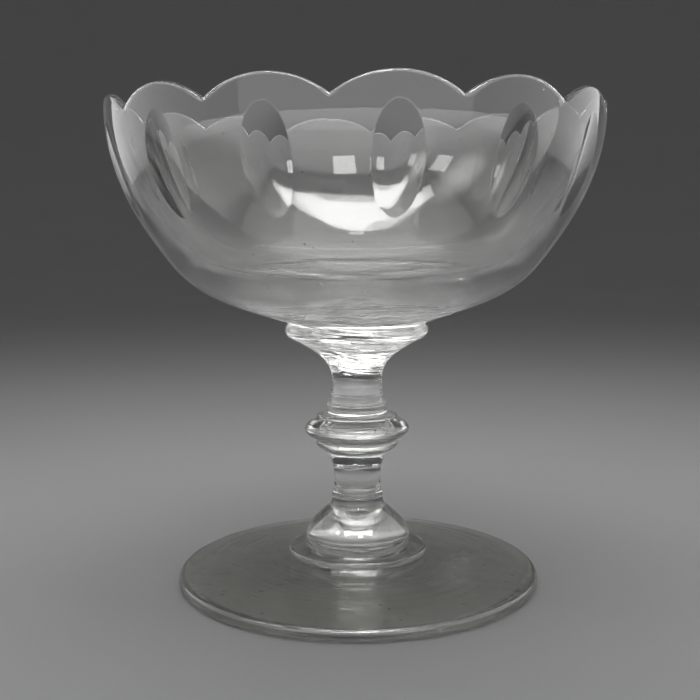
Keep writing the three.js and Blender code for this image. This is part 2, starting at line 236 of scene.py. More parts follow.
def glass(name, tint, roughness, bend, specks, striae, clear=1.0, striae_top=1.0, smears=0.05):
    """Clear glass. Slow noise bends the surface, and noise stretched level draws striae below
    striae_top. Small cells carry specks, and smears dull the polish in places."""
    finish = bpy.data.materials.new(name)
    finish.use_nodes = True
    tree = finish.node_tree
    place = fresh(tree, "TexCoord", {}).outputs["Object"]

    cells = fresh(tree, "TexVoronoi", {"Scale": SPECK_SCALE, "Vector": place})
    speck = fresh(tree, "MapRange", {"Value": cells.outputs["Distance"], "From Min": specks,
                                     "From Max": specks * SPECK_CORE}).outputs["Result"]
    smear = fresh(tree, "TexNoise", {"Scale": SMEAR_SCALE, "Detail": 4, "Vector": place})
    smear = smear.outputs["Fac"]
    clean = fresh(tree, "MapRange", {"Value": smear, "From Min": SMEAR_START,
                                     "From Max": SMEAR_FULL, "To Min": roughness,
                                     "To Max": roughness + smears})
    dull = fresh(tree, "Mix", {"Factor": speck, "A": clean.outputs["Result"],
                               "B": SPECK_ROUGHNESS})
    cast = fresh(tree, "Mix", {})
    cast.data_type = "RGBA"
    feed(tree, cast, {"Factor": smear, "A": (*tint, 1),
                      "B": (*[SMEAR_SHADE * c for c in tint], 1)})

    spot = fresh(tree, "SeparateXYZ", {"Vector": place}).outputs
    level = fresh(tree, "CombineXYZ", {"X": spot["X"], "Y": spot["Y"]}).outputs["Vector"]
    reach = fresh(tree, "VectorMath", {0: level}, "LENGTH").outputs["Value"]
    climb = fresh(tree, "Math", {0: reach, 1: spot["Z"]}, "ADD").outputs["Value"]
    along = fresh(tree, "CombineXYZ", {"X": spot["X"], "Y": spot["Y"], "Z": climb})
    lie = fresh(tree, "Mapping", {"Scale": STRIAE_SCALE, "Vector": along.outputs["Vector"]})
    lines = fresh(tree, "TexNoise", {"Scale": 1, "Detail": 1, "Distortion": 0.6,
                                     "Vector": lie.outputs["Vector"]}).outputs["Fac"]
    fade = fresh(tree, "MapRange", {"Value": climb, "From Min": striae_top,
                                    "From Max": striae_top - STRIAE_FADE}).outputs["Result"]
    kept = fresh(tree, "Math", {0: lines, 1: fade}, "MULTIPLY").outputs["Value"]

    slow = fresh(tree, "TexNoise", {"Scale": BEND_SCALE, "Detail": 2, "Vector": place})
    low = fresh(tree, "Bump", {"Strength": bend, "Distance": BEND_HEIGHT,
                               "Height": slow.outputs["Fac"]}).outputs["Normal"]
    high = fresh(tree, "Bump", {"Strength": striae, "Distance": STRIAE_HEIGHT,
                                "Height": kept, "Normal": low}).outputs["Normal"]
    seed = fresh(tree, "Bump", {"Distance": SPECK_HEIGHT, "Height": speck, "Normal": high})
    feed(tree, tree.nodes["Principled BSDF"], {
        "Transmission Weight": clear, "IOR": GLASS_IOR, "Roughness": dull.outputs["Result"],
        "Base Color": cast.outputs["Result"], "Normal": seed.outputs["Normal"]})
    return finish


def hidden_weld():
    """Inside a hot weld the glass runs on unbroken, so light passes, apart from a faint cloud
    of fine seeds."""
    finish = bpy.data.materials.new("hot_weld")
    finish.use_nodes = True
    tree = finish.node_tree
    tree.nodes.remove(tree.nodes["Principled BSDF"])
    place = fresh(tree, "TexCoord", {}).outputs["Object"]
    cloud = fresh(tree, "TexNoise", {"Scale": SEED_SCALE, "Vector": place})
    faint = fresh(tree, "MapRange", {"Value": cloud.outputs["Fac"], "From Min": SEED_START,
                                     "From Max": SEED_FULL, "To Min": 1.0, "To Max": SEED_SHADE})
    through = fresh(tree, "BsdfTransparent", {"Color": faint.outputs["Result"]})
    feed(tree, tree.nodes["Material Output"], {"Surface": through.outputs["BSDF"]})
    return finish


def settle(thing, finishes, node):
    """The finished piece takes its finishes, stands for its node and rides with the one body."""
    for finish in finishes:
        thing.data.materials.append(finish)
    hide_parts(node)
    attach(thing, "root")


def spin_marks(angle, height):
    """Rings left by spinning the cone open, a tenth or two of a millimetre high, which start
    above the height of the hollow."""
    share_down = (FOOT_TOP - height) / (FOOT_TOP - FOOT_EDGE_HEIGHT)
    down = share_down * (FOOT_RADIUS - FOOT_WELD_RADIUS)
    slow = SPIN_WAVE * waves(angle, height, seed=3, count=5, longest=4.0)
    lines = SPIN_LINE * wandering_lines(angle, down, seed=7, count=6, finest=1.4, widest=5.0)
    return (slow + lines) * np.clip((height - FOOT_HOLLOW_HEIGHT) / SPIN_START, 0, 1)


weld = hidden_weld()
foot_glass = glass("foot_clear_glass", FOOT_TINT, roughness=0.01, bend=0.3, specks=0.1,
                   striae=0.0, clear=0.97, smears=0.35)
foot_side = joined(
    bent_line([(0, FOOT_HOLLOW_HEIGHT), (FOOT_WELD_RADIUS, FOOT_HOLLOW_HEIGHT),
               (REST_RING_INNER, 0)], 60),
    bent_line([(REST_RING_INNER, 0), (REST_RING_OUTER, 0)], 10),
    bent_line([(REST_RING_OUTER, 0), (FOOT_RADIUS, 0), (FOOT_RADIUS, FOOT_EDGE_ROUND)], 12),
    bent_line([(FOOT_RADIUS, FOOT_EDGE_ROUND), (FOOT_RADIUS, FOOT_EDGE_HEIGHT),
               FOOT_EDGE_TOP], 12),
    bent_line([FOOT_EDGE_TOP, (FOOT_WELD_RADIUS, FOOT_TOP)], 120),
)[1:]
foot_disc = turned_skin("foot_disc_glass", False, foot_side, True, spin_marks)
settle(foot_disc, [foot_glass, weld], "foot_disc")


# The pad and the boss: a low round pad on the foot, and on it a dome with an upright side.
# Both are gathers pressed on hot, which squeezes out a fine ridge on top of the boss.
BOSS_RING_TOP = 11.2
BOSS_RING_RADIUS = 23.4
PAD_DIP = 0.5
PAD_DIP_RADIUS = 19.8
PAD_WEAR = 0.06
PAD_LINE = 0.03
PAD_STEP = 0.12
BOSS_TOP = 25.2
BOSS_WELD_RADIUS = 17.0
BOSS_RADIUS = 17.5
BOSS_SIDE_LOW = 12.9
BOSS_SIDE_TOP = 14.6
BOSS_SIDE_HANDLE = 18.6
BOSS_DOME_HANDLE = (12.36, 22.63)
BOSS_STEP = 0.15
BOSS_TINT = (0.955, 0.96, 0.92)
STEM_RING_RADIUS = 9.3
SOFT_WAVE = 0.025


def soft_marks(angle, height):
    """Slow waves of a few hundredths of a millimetre, from turning the hot glass against a
    wooden jack."""
    return SOFT_WAVE * waves(angle, height, seed=5, count=4, longest=14.0)


def ring_marks(angle, height):
    """Level tool lines and slow unevenness round the pad, under a tenth of a millimetre deep."""
    slow = PAD_LINE * waves(angle, height, seed=31, count=6, longest=4.0)
    lines = PAD_LINE * wandering_lines(angle, height, seed=37, count=3, finest=0.5, widest=1.1)
    return slow + lines - PAD_WEAR


boss_glass = glass("boss_soft_glass", BOSS_TINT, roughness=0.035, bend=0.25, specks=0.1,
                   striae=0.0, clear=0.94)
pad_middle = (FOOT_TOP + BOSS_RING_TOP) / 2
boss_ring_side = joined(
    bent_line([(FOOT_WELD_RADIUS, FOOT_TOP), (BOSS_RING_RADIUS, FOOT_TOP),
               (BOSS_RING_RADIUS, pad_middle)], 10),
    bent_line([(BOSS_RING_RADIUS, pad_middle), (BOSS_RING_RADIUS, BOSS_RING_TOP),
               (FOOT_WELD_RADIUS, BOSS_RING_TOP)], 10),
    bent_line([(FOOT_WELD_RADIUS, BOSS_RING_TOP), (PAD_DIP_RADIUS, BOSS_RING_TOP - PAD_DIP),
               (BOSS_WELD_RADIUS, BOSS_RING_TOP)], 20),
)
boss_ring = turned_skin("boss_ring_glass", True, evenly_spaced(boss_ring_side, PAD_STEP), True,
                        ring_marks)
settle(boss_ring, [boss_glass, weld], "boss_ring")

boss_side = joined(
    bent_line([(BOSS_WELD_RADIUS, BOSS_RING_TOP), (BOSS_RADIUS, BOSS_SIDE_LOW),
               (BOSS_RADIUS, BOSS_SIDE_TOP)], 12),
    bent_line([(BOSS_RADIUS, BOSS_SIDE_TOP), (BOSS_RADIUS, BOSS_SIDE_HANDLE), BOSS_DOME_HANDLE,
               (STEM_RING_RADIUS, BOSS_TOP)], 40),
)
boss_side = softened(evenly_spaced(boss_side, BOSS_STEP), 0.0, WELD_RIDGE)
foot_boss = turned_skin("foot_boss_glass", True, boss_side, True, soft_marks)
settle(foot_boss, [boss_glass, weld], "foot_boss")


# The lower stem: a short ring and a waisted stem above it, drawn out hot and sheared.
# The glass is solid and very clear, with one wavy tool mark under the knop.
STEM_FOOT = 28.5
STEM_TOP = 43.5
STEM_BASE_RADIUS = 8.55
STEM_RING_WAIST = 8.7
STEM_WAIST = 7.9
STEM_TOP_RADIUS = 9.9
STEM_STEP = 0.1
STEM_GROOVE_DROP = 4.6
STEM_GROOVE_DEPTH = 0.22
STEM_GROOVE_WIDTH = 0.3
STEM_TINT = (0.965, 0.97, 0.962)


def waisted(low, high, low_radius, middle_radius, high_radius,
            low_groove=WELD_RIDGE, high_groove=WELD_RIDGE):
    """A side through three radii: a quadratic curve whose handle lies so that the middle radius
    is met half-way up."""
    handle = 2 * middle_radius - (low_radius + high_radius) / 2
    side = bent_line([(low_radius, low), (handle, (low + high) / 2), (high_radius, high)], 80)
    return softened(evenly_spaced(side, STEM_STEP), low_groove, high_groove)


def turned_groove(height, place, depth, width):
    """A groove's depth at each height: a bell curve, deepest at its place."""
    return depth * np.exp(-((height - place) / width)**2)


def stem_marks(angle, height):
    """Soft waves, and one wavy groove that runs round the stem at two thirds of its height."""
    waver = 0.35 * np.sin(2 * angle + 0.8) + 0.15 * np.sin(5 * angle)
    groove = turned_groove(height, STEM_TOP - STEM_GROOVE_DROP + waver, STEM_GROOVE_DEPTH,
                           STEM_GROOVE_WIDTH)
    return soft_marks(angle, height) - groove


stem_glass = glass("stem_clear_glass", STEM_TINT, roughness=0.008, bend=0.2, specks=0.08,
                   striae=0.0)
stem_ring_side = waisted(BOSS_TOP, STEM_FOOT, STEM_RING_RADIUS, STEM_RING_WAIST, STEM_BASE_RADIUS)
stem_ring = turned_skin("stem_foot_ring_glass", True, stem_ring_side, True)
settle(stem_ring, [stem_glass, weld], "stem_foot_ring")

lower_side = waisted(STEM_FOOT, STEM_TOP, STEM_BASE_RADIUS, STEM_WAIST, STEM_TOP_RADIUS)
lower_stem = turned_skin("lower_stem_glass", True, lower_side, True, stem_marks)
settle(lower_stem, [stem_glass, weld], "lower_stem")


# The knop: an underside that swells out, a wide flange, a hollow-sided shoulder and a thin bead.
# All four are tooled from hot glass while it turns, which leaves fine lines round them.
FLANGE_LOW = 47.7
SHOULDER_LOW = 55.1
BEAD_LOW = 58.7
NECK_LOW = 60.4
KNOP_WELD_RADIUS = 13.8
KNOP_BASE_HANDLE = (14.75, 45.2)
KNOP_STEP = 0.1
KNOP_LINE = 0.035
KNOP_TINT = (0.965, 0.97, 0.945)
FLANGE_RADIUS = 17.6
FLANGE_RIDGE = 51.2
FLANGE_TOP_RADIUS = 13.1
LOW_GROOVE_DROP, LOW_GROOVE_DEPTH, LOW_GROOVE_WIDTH = 1.5, 0.12, 0.22
HIGH_GROOVE_RISE, HIGH_GROOVE_DEPTH, HIGH_GROOVE_WIDTH = 0.4, 0.09, 0.2
SHOULDER_RADIUS = 13.5
SHOULDER_EDGE = 0.9
LIP_SWELL, LIP_SWELL_RISE = 0.3, 0.1
LIP_TURN = 0.2
LIP_WIDTH = 0.6
BEAD_FOOT_RADIUS = 9.7
BEAD_RADIUS = 9.9
BEAD_SWELL = 0.15
NECK_RADIUS = 9.3


def knop_marks(angle, height):
    """Fine level lines, under a tenth of a millimetre deep, that waver a little round the knop."""
    lines = wandering_lines(angle, height, seed=43, count=4, finest=0.5, widest=1.2)
    return KNOP_LINE * lines + soft_marks(angle, height)


def flange_marks(angle, height):
    """Two turned grooves round the flange, just below and just above its ridge."""
    low = turned_groove(height, FLANGE_RIDGE - LOW_GROOVE_DROP, LOW_GROOVE_DEPTH,
                        LOW_GROOVE_WIDTH)
    high = turned_groove(height, FLANGE_RIDGE + HIGH_GROOVE_RISE, HIGH_GROOVE_DEPTH,
                         HIGH_GROOVE_WIDTH)
    return knop_marks(angle, height) - (low + high)


knop_glass = glass("knop_tooled_glass", KNOP_TINT, roughness=0.06, bend=0.2, specks=0.1,
                   striae=0.15, clear=0.9)
knop_base_side = bent_line([(STEM_TOP_RADIUS, STEM_TOP), KNOP_BASE_HANDLE,
                            (KNOP_WELD_RADIUS, FLANGE_LOW)], 60)
knop_base_side = softened(evenly_spaced(knop_base_side, KNOP_STEP), WELD_RIDGE)
knop_base = turned_skin("knop_base_glass", True, knop_base_side, True, knop_marks)
settle(knop_base, [knop_glass, weld], "knop_base")

flange_side = joined(
    bent_line([(KNOP_WELD_RADIUS, FLANGE_LOW), (FLANGE_RADIUS, (FLANGE_LOW + FLANGE_RIDGE) / 2),
               (FLANGE_RADIUS, FLANGE_RIDGE)], 40),
    bent_line([(FLANGE_RADIUS, FLANGE_RIDGE), (FLANGE_RADIUS, (FLANGE_RIDGE + SHOULDER_LOW) / 2),
               (FLANGE_TOP_RADIUS, SHOULDER_LOW)], 40),
)
flange_side = softened(evenly_spaced(flange_side, KNOP_STEP))
knop_flange = turned_skin("knop_flange_glass", True, flange_side, True, flange_marks)
settle(knop_flange, [knop_glass, weld], "knop_flange")

lip_top = SHOULDER_LOW + SHOULDER_EDGE
shoulder_side = joined(
    bent_line([(FLANGE_TOP_RADIUS, SHOULDER_LOW),
               (SHOULDER_RADIUS + LIP_SWELL, SHOULDER_LOW + LIP_SWELL_RISE),
               (SHOULDER_RADIUS + LIP_TURN, lip_top), (SHOULDER_RADIUS - LIP_WIDTH, lip_top)], 20),
    bent_line([(SHOULDER_RADIUS - LIP_WIDTH, lip_top), (BEAD_RADIUS, lip_top),
               (BEAD_FOOT_RADIUS, BEAD_LOW)], 40),
)
shoulder_side = softened(evenly_spaced(shoulder_side, KNOP_STEP), WELD_ROUND, WELD_RIDGE)
knop_shoulder = turned_skin("knop_shoulder_glass", True, shoulder_side, True, knop_marks)
settle(knop_shoulder, [knop_glass, weld], "knop_shoulder")

bead_side = waisted(BEAD_LOW, NECK_LOW, BEAD_FOOT_RADIUS, BEAD_RADIUS + BEAD_SWELL, NECK_RADIUS)
knop_bead = turned_skin("knop_bead_glass", True, bead_side, True)
settle(knop_bead, [knop_glass, weld], "knop_bead")


# The neck and the collar: a short clear neck that flares to the disc which carries the bowl.
# The collar is laid on in a spiral of hot glass, so it is full of level, wavering lines.
COLLAR_LOW = 68.0
BOWL_LOW = 87.5
NECK_WAIST = 8.6
COLLAR_NECK_RADIUS = 8.4
COLLAR_NECK_RISE = 7
COLLAR_RADIUS = 23.8
COLLAR_RIDGE = 84.6
COLLAR_LIP = (21.7, 81.8)
COLLAR_LIP_HANDLE = (15.46, 78.62)
COLLAR_SOFT_CORNER = (23.8, 82.87)
COLLAR_GROOVE = (22.9, 86.6)
COLLAR_GROOVE_REACH = 0.6
COLLAR_LINE = 0.1
COLLAR_LINES_START = 4
COLLAR_STEP = 0.12
COLLAR_TINT = (0.955, 0.962, 0.942)
BOWL_WELD_RADIUS = 23.4


def collar_marks(angle, height):
    """Spiral tool marks: level lines of five spacings that drift as they go round, and start
    where the neck begins to flare."""
    turn = 0.45 * np.sin(angle + 0.6) + 0.25 * np.sin(3 * angle) + 0.12 * np.sin(7 * angle + 1.9)
    lines = wandering_lines(angle, height + turn, seed=41, count=5, finest=0.9, widest=2.4)
    return COLLAR_LINE * lines * np.clip((height - COLLAR_LOW) / COLLAR_LINES_START, 0, 1)


neck_side = waisted(NECK_LOW, COLLAR_LOW, NECK_RADIUS, NECK_WAIST, COLLAR_NECK_RADIUS,
                    WELD_RIDGE, 0.0)
upper_stem = turned_skin("upper_stem_glass", True, neck_side, True, soft_marks)
settle(upper_stem, [stem_glass, weld], "upper_stem")

collar_glass = glass("collar_clear_glass", COLLAR_TINT, roughness=0.003, bend=0.2, specks=0.06,
                     striae=0.3, clear=0.965)
collar_side = joined(
    bent_line([(COLLAR_NECK_RADIUS, COLLAR_LOW),
               (COLLAR_NECK_RADIUS, COLLAR_LOW + COLLAR_NECK_RISE), COLLAR_LIP_HANDLE,
               COLLAR_LIP], 80),
    bent_line([COLLAR_LIP, COLLAR_SOFT_CORNER, (COLLAR_RADIUS, COLLAR_RIDGE)], 20),
    bent_line([(COLLAR_RADIUS, COLLAR_RIDGE),
               (COLLAR_RADIUS, COLLAR_GROOVE[1] - COLLAR_GROOVE_REACH), COLLAR_GROOVE], 16),
    bent_line([COLLAR_GROOVE, (BOWL_WELD_RADIUS, BOWL_LOW)], 8),
)
bowl_collar = turned_skin("bowl_collar_glass", True, evenly_spaced(collar_side, COLLAR_STEP), True,
                          collar_marks)
settle(bowl_collar, [collar_glass, weld], "bowl_collar")


# The bowl: blown, then cut. The rim is ground in 14 scallops and polished to a round crown.
# Under each scallop a wheel has cut one olive, a long shallow dent with a crisp edge.
BOWL_RIM = 158.32
RIM_RADIUS = 79.93
RIM_SLOPE = 92.0
RIM_WALL = 2.6
RIM_CROWN = 0.8
SHOULDER = (60.0, 106.6)
SHOULDER_SLOPE = 51.7
BASE_SLOPE = 18.7
BASE_WALL = 9.5
WALL_TAPER = 1.5
FULLNESS = 0.36
OUTLINE_POINTS = 1200
SCALLOPS = 14
SCALLOP_DEPTH = 6.0
FIRST_NOTCH = -5.0
OLIVE_LENGTH = 32.0
OLIVE_WIDTH = 14.2
OLIVE_DEPTH = 1.25
OLIVE_DROP = 6.4
BELOW_OLIVES = 45.0
OLIVE_RINGS = (0.13, 0.26, 0.39, 0.51, 0.62, 0.72, 0.81, 0.88, 0.94, 0.975, 1.0)
BORDER_RINGS = (0.02, 0.06, 0.14, 0.25, 0.38, 0.52, 0.66, 0.8, 0.9, 1.0)
BLOWN_WAVE = 0.03
BLOWN_RING = 0.03
RING_SHARE = 0.4
RING_SPACING, FINE_RING_SPACING = 4.6, 2.1
SWIRL_DEPTH = 0.34
SWIRL_SHARE = 0.26
INNER_MARKS = 0.8
FLOOR_RIPPLE = 0.12
LOWER_ROWS = (58, 28)
INSIDE_ROWS = (46, 55)
CROWN_ROWS = 12
FLOOR_ROWS = 36
CELLS = AROUND // SCALLOPS
SIDE_CELLS = 30
MERGE_WITHIN = 2e-6
BOWL_TINT = (0.972, 0.975, 0.958)
STRIAE_TOP = 0.142


def smooth_arc(start, start_slope, end, end_slope):
    """A cubic curve that leaves and arrives at the given slopes, with handles a share of the
    chord long."""
    pull = FULLNESS * np.hypot(end[0] - start[0], end[1] - start[1])
    leave, arrive = np.radians(start_slope), np.radians(end_slope)
    first = (start[0] + pull * np.cos(leave), start[1] + pull * np.sin(leave))
    second = (end[0] - pull * np.cos(arrive), end[1] - pull * np.sin(arrive))
    return bent_line([start, first, second, end], OUTLINE_POINTS)


outline = joined(
    smooth_arc((BOWL_WELD_RADIUS, BOWL_LOW), BASE_SLOPE, SHOULDER, SHOULDER_SLOPE),
    smooth_arc(SHOULDER, SHOULDER_SLOPE, (RIM_RADIUS, BOWL_RIM - RIM_CROWN), RIM_SLOPE),
)
outline_run = running_length(outline)
OUTLINE_LENGTH = outline_run[-1]
slope = np.unwrap(np.arctan2(np.gradient(outline[:, 1]), np.gradient(outline[:, 0])))
low_border = 1 - BELOW_OLIVES / OUTLINE_LENGTH
notch_angles = radians(FIRST_NOTCH) + 2 * np.pi * np.arange(AROUND) / AROUND


def wall_thickness(share):
    """Thin at the rim and thick at the bottom: the rim's wall plus a rest that grows with the
    distance down."""
    return RIM_WALL + (BASE_WALL - RIM_WALL) * (1 - share)**WALL_TAPER


def wall(angle, share, depth, rise=0.0):
    """A point of the bowl: the outline at this share of its length, in by depth along its normal,
    on by rise along its slope, and turned to this angle."""
    run = share * OUTLINE_LENGTH
    radius = np.interp(run, outline_run, outline[:, 0])
    height = np.interp(run, outline_run, outline[:, 1])
    lean = np.interp(run, outline_run, slope)
    radius = radius - np.sin(lean) * depth + np.cos(lean) * rise
    height = height + np.cos(lean) * depth + np.sin(lean) * rise
    return round_axis(angle, radius, height)


def blown_waves(angle, share):
    """Slow swellings of the blown wall, a few hundredths of a millimetre, closer level rings
    lower down, and near the bottom a swirl of wandering lines."""
    run = share * OUTLINE_LENGTH
    slow = BLOWN_WAVE * waves(angle, run, seed=11, count=6, longest=90.0)
    drift = 0.8 * np.sin(angle + 1.0) + 0.4 * np.sin(2 * angle)
    rings = np.sin(2 * np.pi * (run + drift) / RING_SPACING)
    rings += 0.6 * np.sin(2 * np.pi * (run - drift) / FINE_RING_SPACING)
    rings = BLOWN_RING * rings * np.clip(1 - share / RING_SHARE, 0, 1)
    swirl = wandering_lines(2 * angle, run, seed=23, count=6, finest=1.3, widest=3.6)
    swirl = swirl * np.clip(1 - share / SWIRL_SHARE, 0, 1)
    ends = np.clip(share / 0.01, 0, 1) * np.clip((1 - share) / 0.1, 0, 1)
    return ends * (slow + rings + SWIRL_DEPTH * swirl)


def rim_dip(place):
    """How far the rim dips between two notches at -1 and 1: a circle's arc through both notches
    and the top."""
    half_chord = np.pi * RIM_RADIUS / SCALLOPS
    arc_radius = (half_chord**2 + SCALLOP_DEPTH**2) / (2 * SCALLOP_DEPTH)
    return arc_radius - np.sqrt(arc_radius**2 - (place * half_chord)**2)


def rim_share(angle):
    """The outline's share that the scalloped rim reaches at this angle."""
    place = 2 * (((angle - radians(FIRST_NOTCH)) * SCALLOPS / (2 * np.pi)) % 1) - 1
    return 1 - rim_dip(place) / OUTLINE_LENGTH


def outside(angle, share, dent=0.0):
    """The outer surface, with its slow waves, and a dent where an olive is cut."""
    return wall(angle, share, blown_waves(angle, share) + dent)


def olive_patch(number):
    """One scallop's outer surface as rings round its olive.
    The rings grow as ellipses out to the olive's edge, and from there run straight to the
    patch's border. The dent is an elliptic bowl: full depth times one minus the squared
    distance in half-lengths."""
    middle = 1 - (OLIVE_DROP + OLIVE_LENGTH / 2) / OUTLINE_LENGTH
    wide = np.linspace(-1, 1, CELLS + 1)
    half_step = np.pi / SCALLOPS
    top = 1 - rim_dip(wide) / OUTLINE_LENGTH
    side = np.linspace(low_border, top[0], SIDE_CELLS + 1)
    upright = np.ones(SIDE_CELLS)
    border_angle = np.concatenate([wide[:-1], upright, wide[:0:-1], -upright]) * half_step
    border_share = np.concatenate([np.full(CELLS, low_border), side[:-1], top[:0:-1], side[:0:-1]])
    aim = np.arctan2((border_share - middle) / (1 - low_border) * 2, border_angle / half_step)
    middle_radius = np.interp(middle * OUTLINE_LENGTH, outline_run, outline[:, 0])
    edge_angle = OLIVE_WIDTH / 2 * np.cos(aim) / middle_radius
    edge_share = middle + OLIVE_LENGTH / 2 * np.sin(aim) / OUTLINE_LENGTH
    reach = np.array(OLIVE_RINGS)[:, None]
    inner_angle, inner_share = reach * edge_angle, middle + reach * (edge_share - middle)
    inner_dent = OLIVE_DEPTH * (1 - np.repeat(reach, len(aim), 1)**2)
    spread = np.array(BORDER_RINGS)[:, None]
    outer_angle = edge_angle + spread * (border_angle - edge_angle)
    outer_share = edge_share + spread * (border_share - edge_share)
    centre = radians(FIRST_NOTCH) + (2 * number + 1) * half_step
    angles = np.concatenate([inner_angle, outer_angle]) + centre
    shares = np.concatenate([inner_share, outer_share])
    dents = np.concatenate([inner_dent, np.zeros(outer_angle.shape)])
    points = outside(angles, shares, dents).reshape(-1, 3)
    pole = outside(np.array([centre]), np.array([middle]), OLIVE_DEPTH)
    rows, columns = angles.shape
    quads = grid_quads(rows, columns)[:, ::-1]
    return np.concatenate([points, pole]), quads, fan(rows * columns, np.arange(columns), True)


def rings_of_bowl():
    """The rest of the bowl as rings: lower outside, crown, inside and floor, each ring from
    notch to notch."""
    angle = notch_angles
    lower_shares = np.concatenate([np.linspace(0, SWIRL_SHARE, LOWER_ROWS[0]),
                                   np.linspace(SWIRL_SHARE, low_border, LOWER_ROWS[1])[1:]])
    lower = [outside(angle, np.full(AROUND, share)) for share in lower_shares]
    top = rim_share(angle)
    turn = np.linspace(0, np.pi, CROWN_ROWS)[1:-1]
    crown = [wall(angle, top, wall_thickness(top) * (1 - np.cos(t)) / 2, RIM_CROWN * np.sin(t))
             for t in turn]
    inside = []
    for step in np.concatenate([np.linspace(1, SWIRL_SHARE, INSIDE_ROWS[0]),
                                np.linspace(SWIRL_SHARE, 0, INSIDE_ROWS[1])[1:]]):
        share = top * step
        marks = INNER_MARKS * blown_waves(angle + 2.1, share)
        inside.append(wall(angle, share, wall_thickness(share) + marks))
    edge_radius = np.hypot(inside[-1][:, 0], inside[-1][:, 1]).mean()
    edge_height = inside[-1][:, 2].mean()
    sink = edge_radius * np.tan(radians(BASE_SLOPE)) / 2
    floor = []
    for part in np.linspace(1, 0, FLOOR_ROWS)[1:-1]:
        radius = edge_radius * part
        ripple = wandering_lines(angle, np.full(AROUND, radius), seed=51, count=5, finest=1.6,
                                 widest=4.0)
        ripple = FLOOR_RIPPLE * ripple * (1 - part) * part * 4
        floor.append(round_axis(angle, radius, edge_height - sink * (1 - part**2) + ripple))
    return lower, [outside(angle, top)] + crown + inside + floor, edge_height - sink


def blown_bowl():
    """Patches, rings and the weld disc put together, with shared borders joined into one
    closed skin."""
    lower, upper, floor_height = rings_of_bowl()
    disc = [round_axis(notch_angles, BOWL_WELD_RADIUS * k, BOWL_LOW)
            for k in np.arange(1, WELD_RINGS) / WELD_RINGS]
    lower = disc + lower
    points, quads, triangles, quad_slots, triangle_slots = [], [], [], [], []

    def lay(new_points, new_quads, new_triangles, new_slots, end_slot):
        first = sum(len(p) for p in points)
        points.append(new_points)
        quads.append(new_quads + first)
        triangles.append(new_triangles + first)
        quad_slots.append(new_slots)
        triangle_slots.append(np.full(len(new_triangles), end_slot))

    ring = np.arange(AROUND)
    slots = (np.repeat(np.arange(len(lower) - 1), AROUND) < WELD_RINGS - 1).astype(int)
    pole = np.array([[0, 0, BOWL_LOW]])
    lay(np.concatenate([*lower, pole]), grid_quads(len(lower), AROUND),
        fan(len(lower) * AROUND, ring, False), slots, 1)
    last = (len(upper) - 1) * AROUND + ring
    pole = np.array([[0, 0, floor_height]])
    lay(np.concatenate([*upper, pole]), grid_quads(len(upper), AROUND),
        fan(len(upper) * AROUND, last, True), np.zeros((len(upper) - 1) * AROUND), 0)
    for number in range(SCALLOPS):
        patch_points, patch_quads, patch_triangles = olive_patch(number)
        lay(patch_points, patch_quads, patch_triangles, np.zeros(len(patch_quads)), 0)
    thing = skin("bowl_glass", np.concatenate(points), np.concatenate(quads),
                 np.concatenate(triangles), np.concatenate(quad_slots),
                 np.concatenate(triangle_slots))
    shell = bmesh.new()
    shell.from_mesh(thing.data)
    bmesh.ops.remove_doubles(shell, verts=shell.verts, dist=MERGE_WITHIN)
    shell.to_mesh(thing.data)
    shell.free()
    return thing


bowl_glass = glass("bowl_clear_glass", BOWL_TINT, roughness=0.005, bend=0.12, specks=0.04,
                   striae=0.6, clear=0.96, striae_top=STRIAE_TOP)
bowl = blown_bowl()
settle(bowl, [bowl_glass, weld], "bowl")


# The paper: a pale sheet laid flat and swept up all round, so that no horizon shows behind
# the glass. One softbox overhead and the grey surround light it.
PAPER_FLAT = 1.1
PAPER_SWEEP = 1.5
PAPER_STEPS = 24
PAPER_DROP = 0.0001
PAPER_NOISE_SCALE = 9
PAPER_ROUGHNESS = 0.9
PAPER_SHEEN = 0.1
PAPER_DARK = (0.70, 0.70, 0.71, 1)
PAPER_LIGHT = (0.76, 0.76, 0.76, 1)
SURROUND = (0.085, 0.085, 0.087, 1)


def swept_paper():
    """A flat disc whose border curls up through a quarter circle, turned about the upright
    axis."""
    rise = np.linspace(0, np.pi / 2, PAPER_STEPS)
    radius = np.concatenate([[PAPER_FLAT / 4, PAPER_FLAT / 2],
                             PAPER_FLAT + PAPER_SWEEP * np.sin(rise)])
    height = np.concatenate([[0, 0], PAPER_SWEEP * (1 - np.cos(rise))]) - PAPER_DROP
    angle = 2 * np.pi * np.arange(AROUND) / AROUND
    rings = round_axis(angle, radius[:, None], height[:, None]).reshape(-1, 3)
    points = np.concatenate([rings, [[0, 0, height[0]]]])
    return skin("studio_floor", points / MM, grid_quads(len(radius), AROUND)[:, ::-1],
                fan(len(rings), np.arange(AROUND), True), np.zeros((len(radius) - 1) * AROUND),
                np.zeros(AROUND))


def soft_lamp(name, place, target, size, glow):
    """A rectangular softbox at a place, turned to face a target point, with the same glow
    whatever its width and height."""
    data = bpy.data.lights.new(name, "AREA")
    data.shape = "RECTANGLE"
    data.size, data.size_y = size
    data.energy = glow * size[0] * size[1] * np.pi
    lamp = bpy.data.objects.new(name, data)
    bpy.context.scene.collection.objects.link(lamp)
    towards = np.array(target, float) - np.array(place, float)
    flat = np.hypot(towards[0], towards[1])
    tilt, turn = np.arctan2(towards[2], flat), np.arctan2(-towards[0], towards[1])
    lamp.location = place
    lamp.rotation_euler = (np.pi / 2 + tilt, 0, turn)
    lamp.visible_camera = False
    return lamp


